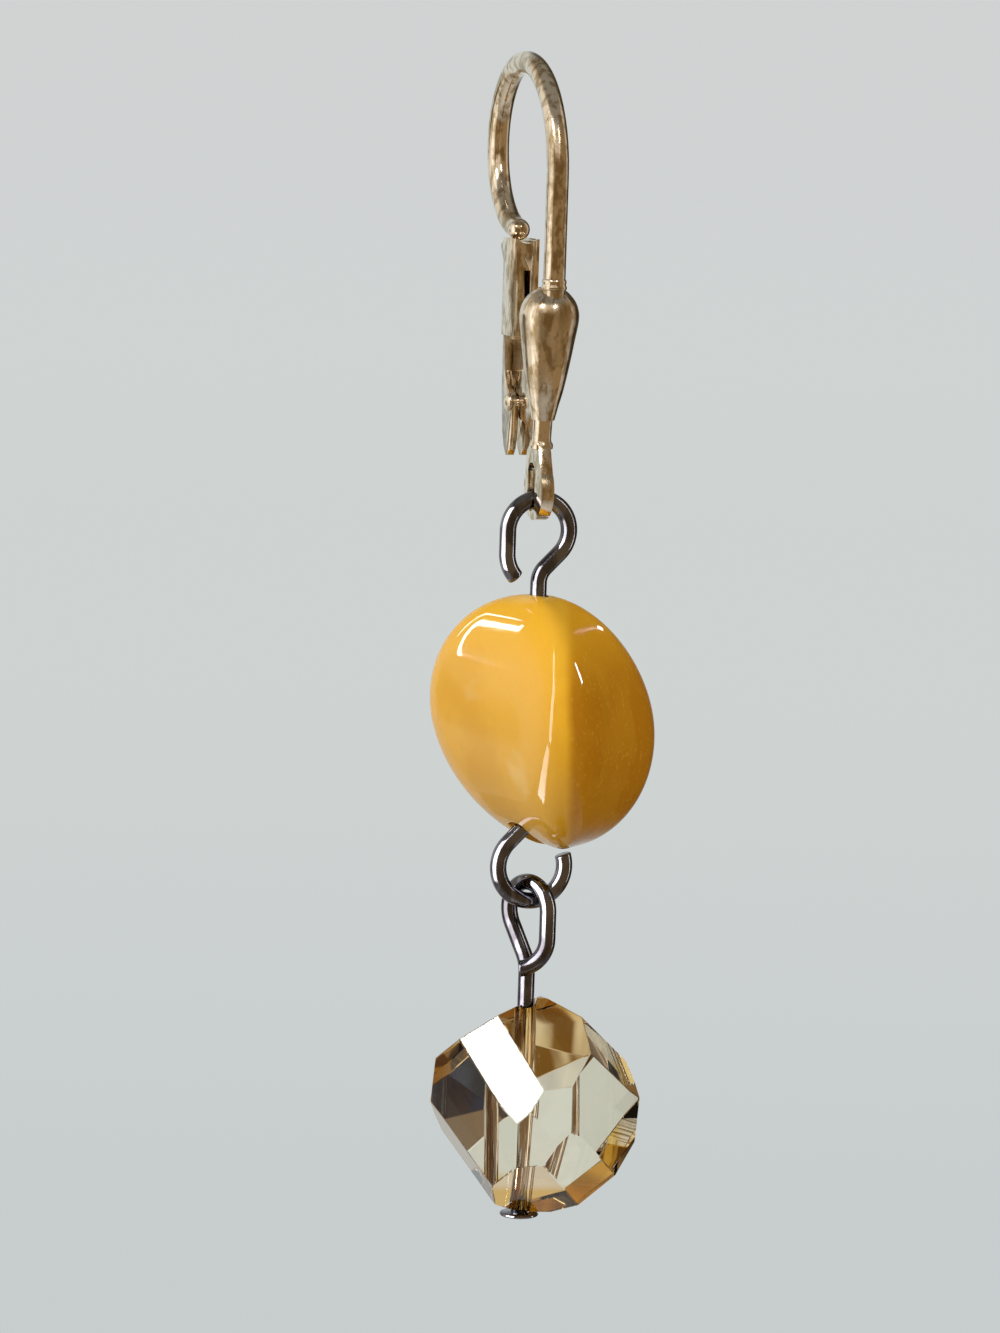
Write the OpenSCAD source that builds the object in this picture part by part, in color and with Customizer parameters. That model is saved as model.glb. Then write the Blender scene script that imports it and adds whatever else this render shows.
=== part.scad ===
// Leverback drop earring: ear wire with a teardrop shield, a hinged lever, a beaded drop on an
// eye pin and a faceted bead on a head pin.
//
// Frame: millimetres, +Z up, the shield looks toward -Y. The origin is the crown of the ear wire,
// on the centreline of the wire, where the earring hangs in the lobe.
// Pieces: ear_hook, lever, lever_rivet, eye_pin, amber_bead, head_pin, crystal_bead.

/* [Ear wire] */
// Diameter of the ear wire
wire_d = 0.84; // [0.7:0.01:0.95]
// Radius of the front quarter of the hook, to the wire's centreline
front_bend_r = 4.2; // [3.8:0.1:4.8]
// Radius of the rear half of the hook
rear_bend_r = 3.2; // [2.8:0.1:3.4]
// How far the rear half is bent round, in degrees
rear_bend_angle = 175; // [160:1:178]

/* [Shield] */
// Height where the shield starts under the wire
shield_top_z = -8.4; // [-9:0.1:-8]
// Largest half width of the teardrop
shield_r = 1.13; // [0.9:0.01:1.3]
// Lean of the shield, so that its tail runs back to the ring
shield_tilt = 5.5; // [3:0.5:8]
// Diameter of the tail under the shield
tail_d = 0.76; // [0.6:0.02:0.9]

/* [Ring and lug] */
// Thickness of the plate of the ring
ring_t = 0.48; // [0.4:0.02:0.5]
// Outer radius of the ring
ring_r = 1.13; // [1.1:0.01:1.2]
// Thickness of the lug between the lever's cheeks
lug_t = 0.24; // [0.18:0.02:0.24]
// Width of the slot the drop hangs in
slot_w = 0.88; // [0.86:0.02:0.92]

/* [Lever] */
// Width of the lever's channel above its step
lever_w = 0.96; // [0.9:0.02:1.1]
// Width of the lever's cheeks beside the lug
cheek_w = 0.80; // [0.76:0.02:0.9]
// Width of the slot inside the lever
channel_w = 0.30; // [0.3:0.01:0.34]
// Radius of the saddle the wire's tip rests in
saddle_r = 0.48; // [0.47:0.01:0.52]

/* [Rivet] */
// Diameter of the rivet's pin
rivet_d = 0.44; // [0.36:0.02:0.5]
// Diameter of the rivet's heads
rivet_head_d = 0.72; // [0.6:0.02:0.84]

/* [Pins] */
// Diameter of the wire of the eye pin and the head pin
pin_d = 0.64; // [0.56:0.02:0.66]
// Radius of the eye pin's upper loop
upper_loop_r = 1.22; // [1.15:0.01:1.3]
// Radius of the eye pin's lower loop
lower_loop_r = 1.33; // [1.25:0.01:1.4]
// Radius of the head pin's loop
head_loop_r = 1.05; // [1:0.01:1.1]
// Turn of the head pin's loop away from the eye pin's loop
head_loop_turn = -63; // [-75:1:-50]
// Diameter of the flat head under the faceted bead
head_d = 1.5; // [1.2:0.05:1.8]

/* [Amber bead] */
// Half height of the bead
amber_h = 4.9; // [4.6:0.05:5.1]
// Distance from the bead's middle to the middle of its three soft faces
amber_r = 3.06; // [2.8:0.01:3.2]
// How sharp the three soft ridges are
amber_power = 3.0; // [2.6:0.1:5]
// Twist of the ridges from the bead's middle to its ends
amber_twist = 4; // [0:1:20]
// Sideways lean of the bead for each millimetre of height
amber_lean = 0.145; // [0:0.005:0.2]

/* [Crystal bead] */
// Half height of the faceted bead above its middle
crystal_h = 4.25; // [4:0.05:4.5]
// Facet distances all grow with this factor
crystal_size = 1.0; // [0.95:0.01:1.02]
// Turn of the facets about the pin
crystal_turn = -14.5; // [-40:0.5:0]

/* [Quality] */
// Sides used to draw a circle on screen
fn_round = 48; // [24:8:96]

/* [Hidden] */
$fn = fn_round;
wire_r = wire_d / 2;
pin_r = pin_d / 2;
run_gap = 0.02;
// wire pieces stop this far short of their joints, inside a ball a little thicker than the wire
join_gap = 0.012;
join_swell = 0.012;
front_y = -front_bend_r;

// shield: rows of [depth under the shield's top, share of shield_r]
shield_rows = [
    [0.00, 0.42], [0.12, 0.57], [0.28, 0.73], [0.48, 0.87], [0.72, 0.96],
    [1.00, 1.00], [1.35, 0.98], [1.90, 0.91], [2.60, 0.82], [3.30, 0.73],
    [3.95, 0.61], [4.50, 0.49], [5.00, 0.39]
];
shield_len = 5.0;
shield_axis_y = -3.84;
shield_back = 0.30;
tail_len = 6.15;
ledge_h = 0.22;
ledge_d = 0.90;
collar_d = 0.96;
collar_h = 0.14;

// ring: centre and slot
ring_y = -3.17;
ring_z = -16.1;
drop_y = -2.91;
slot_top_z = -15.06;
slot_bottom_z = -16.92;

// lever hinge
rivet_y = -0.48;
rivet_z = -12.95;
rivet_bore_r = rivet_d / 2 + run_gap;
lug_boss_r = 0.58;
// reach of the lever's heel, kept free beside the lug
heel_sweep_r = 2.36;

// lever: outline points [y, z]
lever_top_z = -6.7;
lever_step_z = -10.43;
lever_front_y = -0.83;
lever_back_y = 0.59;
web_front_y = 0.26;
web_bottom_z = -12.9;
channel_top_z = -7.9;
saddle_z = -6.4;

// drop
drop_x = 0.21;
upper_loop_x = drop_x - 0.07;
upper_loop_z = -17.65;
lower_loop_x = drop_x + 0.07;
lower_loop_z = -30.58;
head_loop_z = -32.25;

// upper loop: how it runs into the stem
upper_curl = 45;
upper_neck_r = 0.8;
upper_neck_side = upper_loop_r * cos(upper_curl) - upper_neck_r * (1 - cos(upper_curl));
upper_neck_run = (upper_neck_side - (drop_x - upper_loop_x)) / sin(upper_curl);
upper_neck_x = upper_loop_r * cos(upper_curl) - upper_neck_run * sin(upper_curl);
upper_neck_z = -upper_loop_r * sin(upper_curl) - upper_neck_run * cos(upper_curl);
eye_stem_top_z = upper_loop_z + upper_neck_z - upper_neck_r * sin(upper_curl);

// lower loop: where it leaves the circle, where it ends and how it runs into the stem
lower_leave = 135;
lower_stop = 18;
lower_neck_r = 0.55;
lower_rise = lower_leave - 90;
lower_start_x = lower_loop_x + lower_loop_r * cos(lower_leave);
lower_start_z = lower_loop_z + lower_loop_r * sin(lower_leave);
lower_neck_side = drop_x - lower_neck_r * (1 - sin(lower_rise)) - lower_start_x;
lower_neck_run = lower_neck_side / cos(lower_rise);
lower_neck_x = lower_start_x + lower_neck_run * cos(lower_rise);
lower_neck_z = lower_start_z + lower_neck_run * sin(lower_rise);
eye_stem_bottom_z = lower_neck_z + lower_neck_r * cos(lower_rise);

// head pin's loop: an S bend on the side of the stem, a hooked end on the other side
head_bend_r = 1.3;
head_bend = 32;
head_run = (head_loop_r - 2 * head_bend_r * (1 - cos(head_bend))) / sin(head_bend);
head_mid_x = -head_loop_r + head_bend_r * (1 - cos(head_bend));
head_mid_z = -head_bend_r * sin(head_bend);
head_low_x = head_mid_x + head_run * sin(head_bend);
head_low_z = head_mid_z - head_run * cos(head_bend);
head_stem_top_z = head_loop_z + head_low_z - head_bend_r * sin(head_bend);
head_end_drop = 1.02;
head_end_r = 1.2;
head_end_bend = 80;
head_end_turn = 41;

// amber bead
amber_x = 0.74;
amber_z = -25.0;
amber_side_power = 1.93;
amber_ridge_turn = -102;
amber_bore_d = pin_d + 0.12;
amber_rings = 28;
amber_sides = 48;
recess_top_z = -28.42;
recess_angle = 43;
recess_w = 1.14;

// crystal bead
crystal_x = 0.81;
crystal_y = -2.91;
crystal_z = -39.96;
crystal_bottom_h = 4.10;
crystal_bore_d = 0.84;
// facet rows: [turn, elevation, distance from the middle]
facet_rows = [[43.5, 28.5, 3.31], [-59, 3, 2.99], [3, 54.5, 3.55], [6.5, -5.5, 4.17]];
head_bottom_z = -44.25;
head_t = 0.16;

silver = [0.78, 0.74, 0.66];
bronze = [0.62, 0.50, 0.34];
gunmetal = [0.36, 0.34, 0.34];
amber = [0.83, 0.58, 0.18];
champagne = [0.86, 0.76, 0.58];

// Helpers

// Piece of a round ring in the XY plane, its ends trimmed for the joints
module bend(r, bend_r, start, sweep) {
    trim = join_gap / bend_r * 180 / PI;
    rotate([0, 0, start + trim])
        rotate_extrude(angle = sweep - 2 * trim)
            translate([bend_r, 0])
                circle(r);
}

// Round wire bent about (y, z) in the YZ plane, angles from +Y toward +Z
module bend_yz(r, bend_r, y, z, start, sweep) {
    translate([0, y, z])
        rotate([90, 0, 90])
            bend(r, bend_r, start, sweep);
}

// Round wire bent about (x, z) in the XZ plane, angles from +X toward +Z
module bend_xz(r, bend_r, x, z, start, sweep) {
    translate([x, 0, z])
        rotate([90, 0, 0])
            bend(r, bend_r, start, sweep);
}

// Straight round wire in the XZ plane, from a point, leaning from +Z toward +X
module rod_xz(r, x, z, lean, len) {
    translate([x, 0, z])
        rotate([0, lean, 0])
            translate([0, 0, join_gap])
                cylinder(r = r, h = len - 2 * join_gap);
}

// Ball that joins two wire pieces in the XZ plane
module joint_xz(r, x, z) {
    translate([x, 0, z])
        sphere(r = r + join_swell);
}

// Plate in the YZ plane, centred on x = 0
module plate_yz(t) {
    translate([-t / 2, 0, 0])
        rotate([90, 0, 90])
            linear_extrude(height = t)
                children();
}

// Ear hook

module hook_wire() {
    tip_angle = 90 - rear_bend_angle;
    ball_r = wire_r + join_swell;
    translate([0, front_y, shield_top_z - 0.6])
        cylinder(r = wire_r, h = -front_bend_r - shield_top_z + 0.6 - join_gap);
    translate([0, front_y, -front_bend_r])
        sphere(r = ball_r);
    bend_yz(wire_r, front_bend_r, 0, -front_bend_r, 90, 90);
    sphere(r = ball_r);
    bend_yz(wire_r, rear_bend_r, 0, -rear_bend_r, tip_angle, rear_bend_angle);
    translate([0, rear_bend_r * cos(tip_angle), rear_bend_r * (sin(tip_angle) - 1)])
        sphere(r = ball_r);
}

// Two small rings where the wire meets the shield
module hook_collars() {
    translate([0, front_y, shield_top_z - 0.02])
        cylinder(d = collar_d, h = collar_h);
    translate([0, front_y, shield_top_z + 0.24])
        cylinder(d = collar_d - 0.06, h = collar_h - 0.02);
}

module shield() {
    translate([0, shield_axis_y, shield_top_z])
        rotate([shield_tilt, 0, 0]) {
            difference() {
                rotate_extrude()
                    polygon(concat(
                        [[0, 0]],
                        [for (row = shield_rows) [row[1] * shield_r, -row[0]]],
                        [[0, -shield_len]]
                    ));
                translate([-2, shield_back, -shield_len - 1])
                    cube([4, 3, shield_len + 2]);
            }
            translate([0, 0, -tail_len])
                cylinder(d = tail_d, h = tail_len - shield_len + 0.4);
            translate([0, 0, -tail_len])
                cylinder(d = ledge_d, h = ledge_h);
        }
}

module ring_outline() {
    translate([ring_y, ring_z])
        circle(ring_r);
    polygon([[-3.6, -14.2], [-2.9, -14.2], [-2.3, -14.6], [-2.08, -15.9], [-3.0, -16.0], [-4.1, -15.5]]);
}

module slot_outline() {
    slot_r = slot_w / 2;
    translate([drop_y, slot_bottom_z + slot_r])
        circle(slot_r);
    translate([drop_y, slot_top_z - slot_r])
        circle(slot_r);
    translate([drop_y - slot_r, slot_bottom_z + slot_r])
        square([slot_w, slot_top_z - slot_bottom_z - slot_w]);
}

module lug_outline() {
    translate([rivet_y, rivet_z])
        circle(lug_boss_r);
    polygon([
        [-3.62, -10.75], [0.12, -10.6], [0.16, -11.1], [0.02, -11.9], [-0.42, -12.4],
        [-0.30, -12.95], [-0.50, -13.5], [-1.9, -13.75], [-2.3, -14.2], [-2.3, -15.2],
        [-3.0, -15.4], [-3.45, -14.0]
    ]);
}

// The ring's plate, thinned to the lug where the lever's heels swing past
module ring_plate() {
    difference() {
        union() {
            plate_yz(ring_t)
                difference() {
                    ring_outline();
                    translate([rivet_y, rivet_z])
                        circle(heel_sweep_r);
                }
            plate_yz(lug_t)
                lug_outline();
        }
        plate_yz(ring_t + 1)
            slot_outline();
        plate_yz(ring_t + 1)
            translate([rivet_y, rivet_z])
                circle(rivet_bore_r);
    }
}

module ear_hook() {
    color(silver)
        union() {
            hook_wire();
            hook_collars();
            shield();
            ring_plate();
        }
}

// Lever

module lever_outline() {
    polygon([
        [lever_front_y, lever_top_z], [lever_front_y, lever_step_z], [0.37, lever_step_z],
        [0.21, -11.8], [-0.10, -12.34], [-0.55, -12.77], [-0.80, -13.05], [-0.80, -14.0],
        [-0.60, -14.75], [-0.42, -15.0], [-0.14, -15.02], [0.14, -14.67], [0.36, -14.1],
        [0.58, -12.6], [lever_back_y + 0.02, -11.0], [lever_back_y, -7.6],
        [0.95, -7.12], [0.95, -6.98], [0.80, -6.90], [lever_back_y, lever_top_z]
    ]);
}

module lever() {
    color(bronze)
        difference() {
            union() {
                plate_yz(cheek_w)
                    lever_outline();
                plate_yz(lever_w)
                    intersection() {
                        lever_outline();
                        translate([-3, lever_step_z])
                            square([6, 5]);
                    }
            }
            translate([-channel_w / 2, -3, -16])
                cube([channel_w, 3 + web_front_y, 16 + channel_top_z]);
            translate([-channel_w / 2, -3, -16])
                cube([channel_w, 6, 16 + web_bottom_z]);
            translate([0, -3, saddle_z])
                rotate([-90, 0, 0])
                    cylinder(r = saddle_r, h = 6);
            translate([-2, rivet_y, rivet_z])
                rotate([0, 90, 0])
                    cylinder(r = rivet_bore_r, h = 4);
        }
}

// Rivet

// Pin with a low domed head at each end, turned about its own axis
module lever_rivet() {
    head_h = 0.2;
    pin_end = cheek_w / 2 + run_gap;
    head_r = rivet_head_d / 2;
    dome = [[1.0, 0.0], [0.97, 0.3], [0.87, 0.58], [0.7, 0.8], [0.45, 0.94], [0.0, 1.0]];
    upper = [for (d = dome) [head_r * d[0], pin_end + head_h * d[1]]];
    lower = [for (k = [len(dome) - 1:-1:0]) [head_r * dome[k][0], -pin_end - head_h * dome[k][1]]];
    color(silver)
        translate([0, rivet_y, rivet_z])
            rotate([0, 90, 0])
                rotate_extrude()
                    polygon(concat(
                        [[rivet_d / 2, -pin_end], [rivet_d / 2, pin_end]],
                        upper,
                        lower
                    ));
}

// Eye pin

// Upper loop: an open hook whose cut end hangs at the left
module upper_loop() {
    r = upper_loop_r;
    end_drop = 0.9;
    end_r = 1.33;
    end_turn = 43;
    translate([upper_loop_x, 0, upper_loop_z]) {
        bend_xz(pin_r, r, 0, 0, -upper_curl, 180 + upper_curl);
        joint_xz(pin_r, -r, 0);
        rod_xz(pin_r, -r, -end_drop, 0, end_drop);
        joint_xz(pin_r, -r, -end_drop);
        bend_xz(pin_r, end_r, -r + end_r, -end_drop, 180, end_turn);
        joint_xz(pin_r, r * cos(upper_curl), -r * sin(upper_curl));
        rod_xz(pin_r, upper_neck_x, upper_neck_z, upper_curl, upper_neck_run);
        joint_xz(pin_r, upper_neck_x, upper_neck_z);
        bend_xz(
            pin_r, upper_neck_r,
            upper_neck_x + upper_neck_r * cos(upper_curl), upper_neck_z - upper_neck_r * sin(upper_curl),
            180 - upper_curl, upper_curl
        );
    }
}

// Lower loop: leaves the bead at the left, runs under and ends below the bead at the right
module lower_loop() {
    rise = lower_rise;
    bend_xz(pin_r, lower_loop_r, lower_loop_x, lower_loop_z, lower_leave, 360 - lower_leave + lower_stop);
    joint_xz(pin_r, lower_start_x, lower_start_z);
    rod_xz(pin_r, lower_start_x, lower_start_z, 90 - rise, lower_neck_run);
    joint_xz(pin_r, lower_neck_x, lower_neck_z);
    bend_xz(
        pin_r, lower_neck_r,
        lower_neck_x - lower_neck_r * sin(rise), lower_neck_z + lower_neck_r * cos(rise),
        rise - 90, 90 - rise
    );
}

module eye_pin() {
    color(gunmetal)
        translate([0, drop_y, 0]) {
            upper_loop();
            joint_xz(pin_r, drop_x, eye_stem_top_z);
            rod_xz(pin_r, drop_x, eye_stem_bottom_z, 0, eye_stem_top_z - eye_stem_bottom_z);
            joint_xz(pin_r, drop_x, eye_stem_bottom_z);
            lower_loop();
        }
}

// Amber bead

// Pull of one soft face on the cross section, seen at an angle from its middle
function face_pull(a) = pow(max(cos(a), 0), amber_power);

function amber_point(k, a) =
    let (
        lat = 180 * k / amber_rings - 90,
        up = sign(sin(lat)) * pow(abs(sin(lat)), 2 / amber_side_power),
        out = pow(abs(cos(lat)), 2 / amber_side_power),
        side = pow(face_pull(a - 60) + face_pull(a - 180) + face_pull(a - 300), -1 / amber_power),
        turn = a + amber_ridge_turn + amber_twist * up,
        z = amber_h * up
    )
    [
        amber_r * out * side * cos(turn) - amber_lean * z,
        amber_r * out * side * sin(turn),
        z
    ];

// Soft three-sided bead, leaning and slightly twisted
module amber_body() {
    last = (amber_rings - 1) * amber_sides;
    points = concat(
        [for (k = [1:amber_rings - 1], j = [0:amber_sides - 1]) amber_point(k, 360 * j / amber_sides)],
        [amber_point(0, 0), amber_point(amber_rings, 0)]
    );
    quads = [
        for (k = [0:amber_rings - 3], j = [0:amber_sides - 1])
            let (a = k * amber_sides + j, b = k * amber_sides + (j + 1) % amber_sides)
            [[a, a + amber_sides, b + amber_sides], [a, b + amber_sides, b]]
    ];
    sides = [for (q = quads, t = q) t];
    bottom = [for (j = [0:amber_sides - 1]) [last, j, (j + 1) % amber_sides]];
    top_start = last - amber_sides;
    top = [for (j = [0:amber_sides - 1]) [last + 1, top_start + (j + 1) % amber_sides, top_start + j]];
    polyhedron(points = points, faces = concat(sides, bottom, top));
}

module amber_bead() {
    recess_len = 2.4;
    bore_r = amber_bore_d / 2;
    color(amber)
        difference() {
            translate([amber_x, drop_y, amber_z])
                amber_body();
            translate([drop_x, drop_y, amber_z - 8])
                cylinder(d = amber_bore_d, h = 16);
            intersection() {
                translate([drop_x, drop_y, recess_top_z - recess_len])
                    cylinder(r1 = bore_r + recess_len * tan(recess_angle), r2 = bore_r, h = recess_len);
                translate([drop_x - 4, drop_y - recess_w / 2, recess_top_z - recess_len])
                    cube([8, recess_w, recess_len]);
            }
        }
}

// Head pin

// Teardrop loop in its own plane; its cut end passes in front of the stem
module head_loop() {
    r = head_loop_r;
    bend_xz(pin_r, r, 0, 0, 0, 180);
    joint_xz(pin_r, -r, 0);
    bend_xz(pin_r, head_bend_r, head_bend_r - r, 0, 180, head_bend);
    joint_xz(pin_r, head_mid_x, head_mid_z);
    rod_xz(pin_r, head_low_x, head_low_z, -head_bend, head_run);
    joint_xz(pin_r, head_low_x, head_low_z);
    bend_xz(
        pin_r, head_bend_r,
        head_low_x - head_bend_r * cos(head_bend), head_low_z - head_bend_r * sin(head_bend),
        0, head_bend
    );
    joint_xz(pin_r, r, 0);
    rod_xz(pin_r, r, -head_end_drop, 0, head_end_drop);
    joint_xz(pin_r, r, -head_end_drop);
    translate([r, 0, 0])
        rotate([0, 0, head_end_turn])
            bend_xz(pin_r, head_end_r, -head_end_r, -head_end_drop, -head_end_bend, head_end_bend);
}

module head_pin() {
    stem_bottom_z = head_bottom_z + head_t / 2;
    color(gunmetal)
        translate([drop_x, drop_y, 0]) {
            translate([0, 0, head_loop_z])
                rotate([0, 0, head_loop_turn])
                    head_loop();
            translate([0, 0, head_stem_top_z])
                sphere(r = pin_r + join_swell);
            translate([0, 0, stem_bottom_z])
                cylinder(r = pin_r, h = head_stem_top_z - stem_bottom_z - join_gap);
            translate([0, 0, head_bottom_z])
                cylinder(d = head_d, h = head_t);
        }
}

// Crystal bead

// Everything beyond a facet plane
module beyond_facet(turn, elevation, distance) {
    rotate([0, 0, turn])
        rotate([-elevation, 0, 0])
            translate([-12, -distance * crystal_size - 12, -12])
                cube([24, 12, 24]);
}

module crystal_bead() {
    color(champagne)
        difference() {
            translate([crystal_x, crystal_y, crystal_z - crystal_bottom_h])
                cylinder(r = 5.6, h = crystal_bottom_h + crystal_h);
            for (k = [0:2], row = facet_rows, s = [-1, 1])
                translate([crystal_x, crystal_y, crystal_z])
                    beyond_facet(crystal_turn + 120 * k - s * row[0], s * row[1], row[2]);
            translate([drop_x, drop_y, crystal_z - 8])
                cylinder(d = crystal_bore_d, h = 16);
        }
}

ear_hook();
lever();
lever_rivet();
eye_pin();
amber_bead();
head_pin();
crystal_bead();
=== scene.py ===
"""Leverback drop earring: visible pieces, finishes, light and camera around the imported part.

Shapes are worked out in millimetres in the part's own frame and scaled to metres when each piece is made.
"""

import logging
import math
from collections.abc import Iterable, Sequence
from dataclasses import dataclass, field
from enum import Enum

import bmesh
import bpy
from mathutils import Matrix, Quaternion, Vector

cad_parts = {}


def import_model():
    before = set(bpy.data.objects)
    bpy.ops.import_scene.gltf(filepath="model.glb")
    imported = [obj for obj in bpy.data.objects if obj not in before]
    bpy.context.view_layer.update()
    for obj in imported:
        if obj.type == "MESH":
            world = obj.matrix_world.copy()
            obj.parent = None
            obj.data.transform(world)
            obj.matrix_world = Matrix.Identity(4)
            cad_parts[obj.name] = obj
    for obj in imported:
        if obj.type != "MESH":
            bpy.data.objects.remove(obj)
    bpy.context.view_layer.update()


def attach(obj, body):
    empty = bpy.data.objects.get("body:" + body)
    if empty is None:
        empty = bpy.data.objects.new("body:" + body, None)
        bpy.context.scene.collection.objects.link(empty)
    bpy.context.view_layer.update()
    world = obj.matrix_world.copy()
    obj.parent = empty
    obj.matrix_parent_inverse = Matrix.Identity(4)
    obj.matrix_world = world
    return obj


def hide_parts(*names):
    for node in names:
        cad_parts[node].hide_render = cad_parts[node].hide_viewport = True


LOG = logging.getLogger("earring")
MM = 0.001

Point2 = tuple[float, float]
Rgb = tuple[float, float, float]
Solid = bmesh.types.BMesh
Socket = bpy.types.NodeSocket

SIDEWAYS = Vector((1, 0, 0))
UPWARD = Vector((0, 0, 1))

# Sizes that several pieces share, in millimetres
HINGE = Vector((0, -0.48, -12.95))
PIN_X, PIN_Y = 0.21, -2.91
GLASS_BORE = 0.42
CUT_ROUNDING = 0.035

# Distances under which points are merged, in millimetres
WELD_SEAM = 1e-5
WELD_CUT = 1e-4


class Body(Enum):
    """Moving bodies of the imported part."""

    EAR_WIRE = "ear_wire"
    LEVER = "lever"
    EYE_PIN = "eye_pin"
    AMBER = "amber_bead"
    HEAD_PIN = "head_pin"
    CRYSTAL = "crystal_bead"


class Slot(Enum):
    """Material slots of the record."""

    SILVER = "tarnished_silver"
    PIN = "dark_pin_metal"
    AMBER = "amber_bead"
    CRYSTAL = "champagne_crystal"


# Shaping tools


def to_object(bm: Solid, name: str, scale: float = MM) -> bpy.types.Object:
    """Turn a bmesh into a scene object at the origin.

    Args:
        bm: The shape, which is freed.
        name: Name of the object.
        scale: Factor from the shape's units to metres.

    Returns:
        The new object.
    """
    bmesh.ops.recalc_face_normals(bm, faces=bm.faces[:])
    mesh = bpy.data.meshes.new(name)
    bm.to_mesh(mesh)
    bm.free()
    mesh.transform(Matrix.Scale(scale, 4))
    obj = bpy.data.objects.new(name, mesh)
    bpy.context.scene.collection.objects.link(obj)
    return obj


def smooth_by_angle(obj: bpy.types.Object, degrees: float) -> bpy.types.Object:
    """Shade smooth, keeping edges sharper than an angle hard.

    Args:
        obj: The piece.
        degrees: Largest angle between faces that is still smoothed.

    Returns:
        The same piece.
    """
    mesh = obj.data
    mesh.polygons.foreach_set("use_smooth", [True] * len(mesh.polygons))
    bm = bmesh.new()
    bm.from_mesh(mesh)
    limit = math.radians(degrees)
    for edge in bm.edges:
        edge.smooth = len(edge.link_faces) == 2 and edge.calc_face_angle(0.0) < limit
    bm.to_mesh(mesh)
    bm.free()
    return obj


def prism(outline: Sequence[Point2], thickness: float, rounding: float = 0.0) -> Solid:
    """Extrude an outline in the YZ plane, centred on x = 0.

    Args:
        outline: Corners as (y, z).
        thickness: Thickness along X.
        rounding: How far each corner of the outline is rounded off.

    Returns:
        The closed solid.
    """
    bm = bmesh.new()
    bm.faces.new([bm.verts.new((-thickness / 2, y, z)) for y, z in outline])
    if rounding > 0:
        bmesh.ops.bevel(
            bm, geom=bm.verts[:], offset=rounding, offset_type="OFFSET", segments=4,
            profile=0.5, affect="VERTICES", material=-1,
        )
    grown = bmesh.ops.extrude_face_region(bm, geom=bm.faces[:])
    moved = [v for v in grown["geom"] if isinstance(v, bmesh.types.BMVert)]
    bmesh.ops.translate(bm, verts=moved, vec=(thickness, 0, 0))
    bmesh.ops.recalc_face_normals(bm, faces=bm.faces[:])
    return bm


def aimed(place: Vector, axis: Vector) -> Matrix:
    """Work out the move that lays a shape's Z axis along a direction.

    Args:
        place: Where the shape's origin goes.
        axis: The direction.

    Returns:
        The move.
    """
    return Matrix.Translation(place) @ axis.to_track_quat("Z", "Y").to_matrix().to_4x4()


def box(low: Sequence[float], high: Sequence[float]) -> Solid:
    """Make a box between two corners.

    Args:
        low: Lowest corner.
        high: Highest corner.

    Returns:
        The closed solid.
    """
    bm = bmesh.new()
    bmesh.ops.create_cube(bm, size=1.0)
    bmesh.ops.scale(bm, verts=bm.verts[:], vec=[b - a for a, b in zip(low, high)])
    bmesh.ops.translate(bm, verts=bm.verts[:], vec=[(a + b) / 2 for a, b in zip(low, high)])
    return bm


def rod(
    radius: float, length: float, centre: Vector, axis: Vector, sides: int, top: float | None = None
) -> Solid:
    """Make a closed cylinder or cone.

    Args:
        radius: Radius at the low end.
        length: Length along the axis.
        centre: Middle of the axis.
        axis: Direction of the axis.
        sides: Number of sides.
        top: Radius at the high end, the same as radius if left out.

    Returns:
        The closed solid.
    """
    bm = bmesh.new()
    bmesh.ops.create_cone(
        bm, cap_ends=True, cap_tris=False, segments=sides, radius1=radius,
        radius2=radius if top is None else top, depth=length,
    )
    bmesh.ops.transform(bm, matrix=aimed(centre, axis), verts=bm.verts[:])
    return bm


def pin_hole(radius: float, height: float) -> Solid:
    """Shape the hole that a pin runs through.

    Args:
        radius: Radius of the hole.
        height: Height of the bead's middle.

    Returns:
        The cutter.
    """
    return rod(radius, 16, Vector((PIN_X, PIN_Y, height)), UPWARD, 64)


def combine(base: Solid, tools: Iterable[tuple[str, Solid]]) -> Solid:
    """Join, cut or intersect solids with exact booleans.

    Args:
        base: The solid to start from.
        tools: Pairs of "UNION", "DIFFERENCE" or "INTERSECT" and a solid.

    Returns:
        The combined solid, in millimetres.
    """
    body = to_object(base, "work", 1.0)
    for operation, tool in tools:
        other = to_object(tool, "tool", 1.0)
        modifier = body.modifiers.new("cut", "BOOLEAN")
        modifier.object = other
        modifier.operation = operation
        modifier.solver = "EXACT"
        bpy.context.view_layer.update()
        graph = bpy.context.evaluated_depsgraph_get()
        result = bpy.data.meshes.new_from_object(body.evaluated_get(graph))
        body.modifiers.clear()
        body.data = result
        bpy.data.objects.remove(other)
    bm = bmesh.new()
    bm.from_mesh(body.data)
    bpy.data.objects.remove(body)
    bmesh.ops.remove_doubles(bm, verts=bm.verts[:], dist=WELD_CUT)
    return bm


def soften(bm: Solid, width: float, segments: int, over: float = 32.0) -> Solid:
    """Bevel every edge that is sharper than an angle.

    Args:
        bm: The solid.
        width: Width of the bevel.
        segments: Segments across it.
        over: Smallest angle between faces that is bevelled, in degrees.

    Returns:
        The same solid.
    """
    limit = math.radians(over)
    sharp = [e for e in bm.edges if len(e.link_faces) == 2 and e.calc_face_angle(0.0) > limit]
    bmesh.ops.bevel(
        bm, geom=sharp, offset=width, offset_type="OFFSET", segments=segments, profile=0.5,
        affect="EDGES", clamp_overlap=True, material=-1,
    )
    return bm


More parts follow.
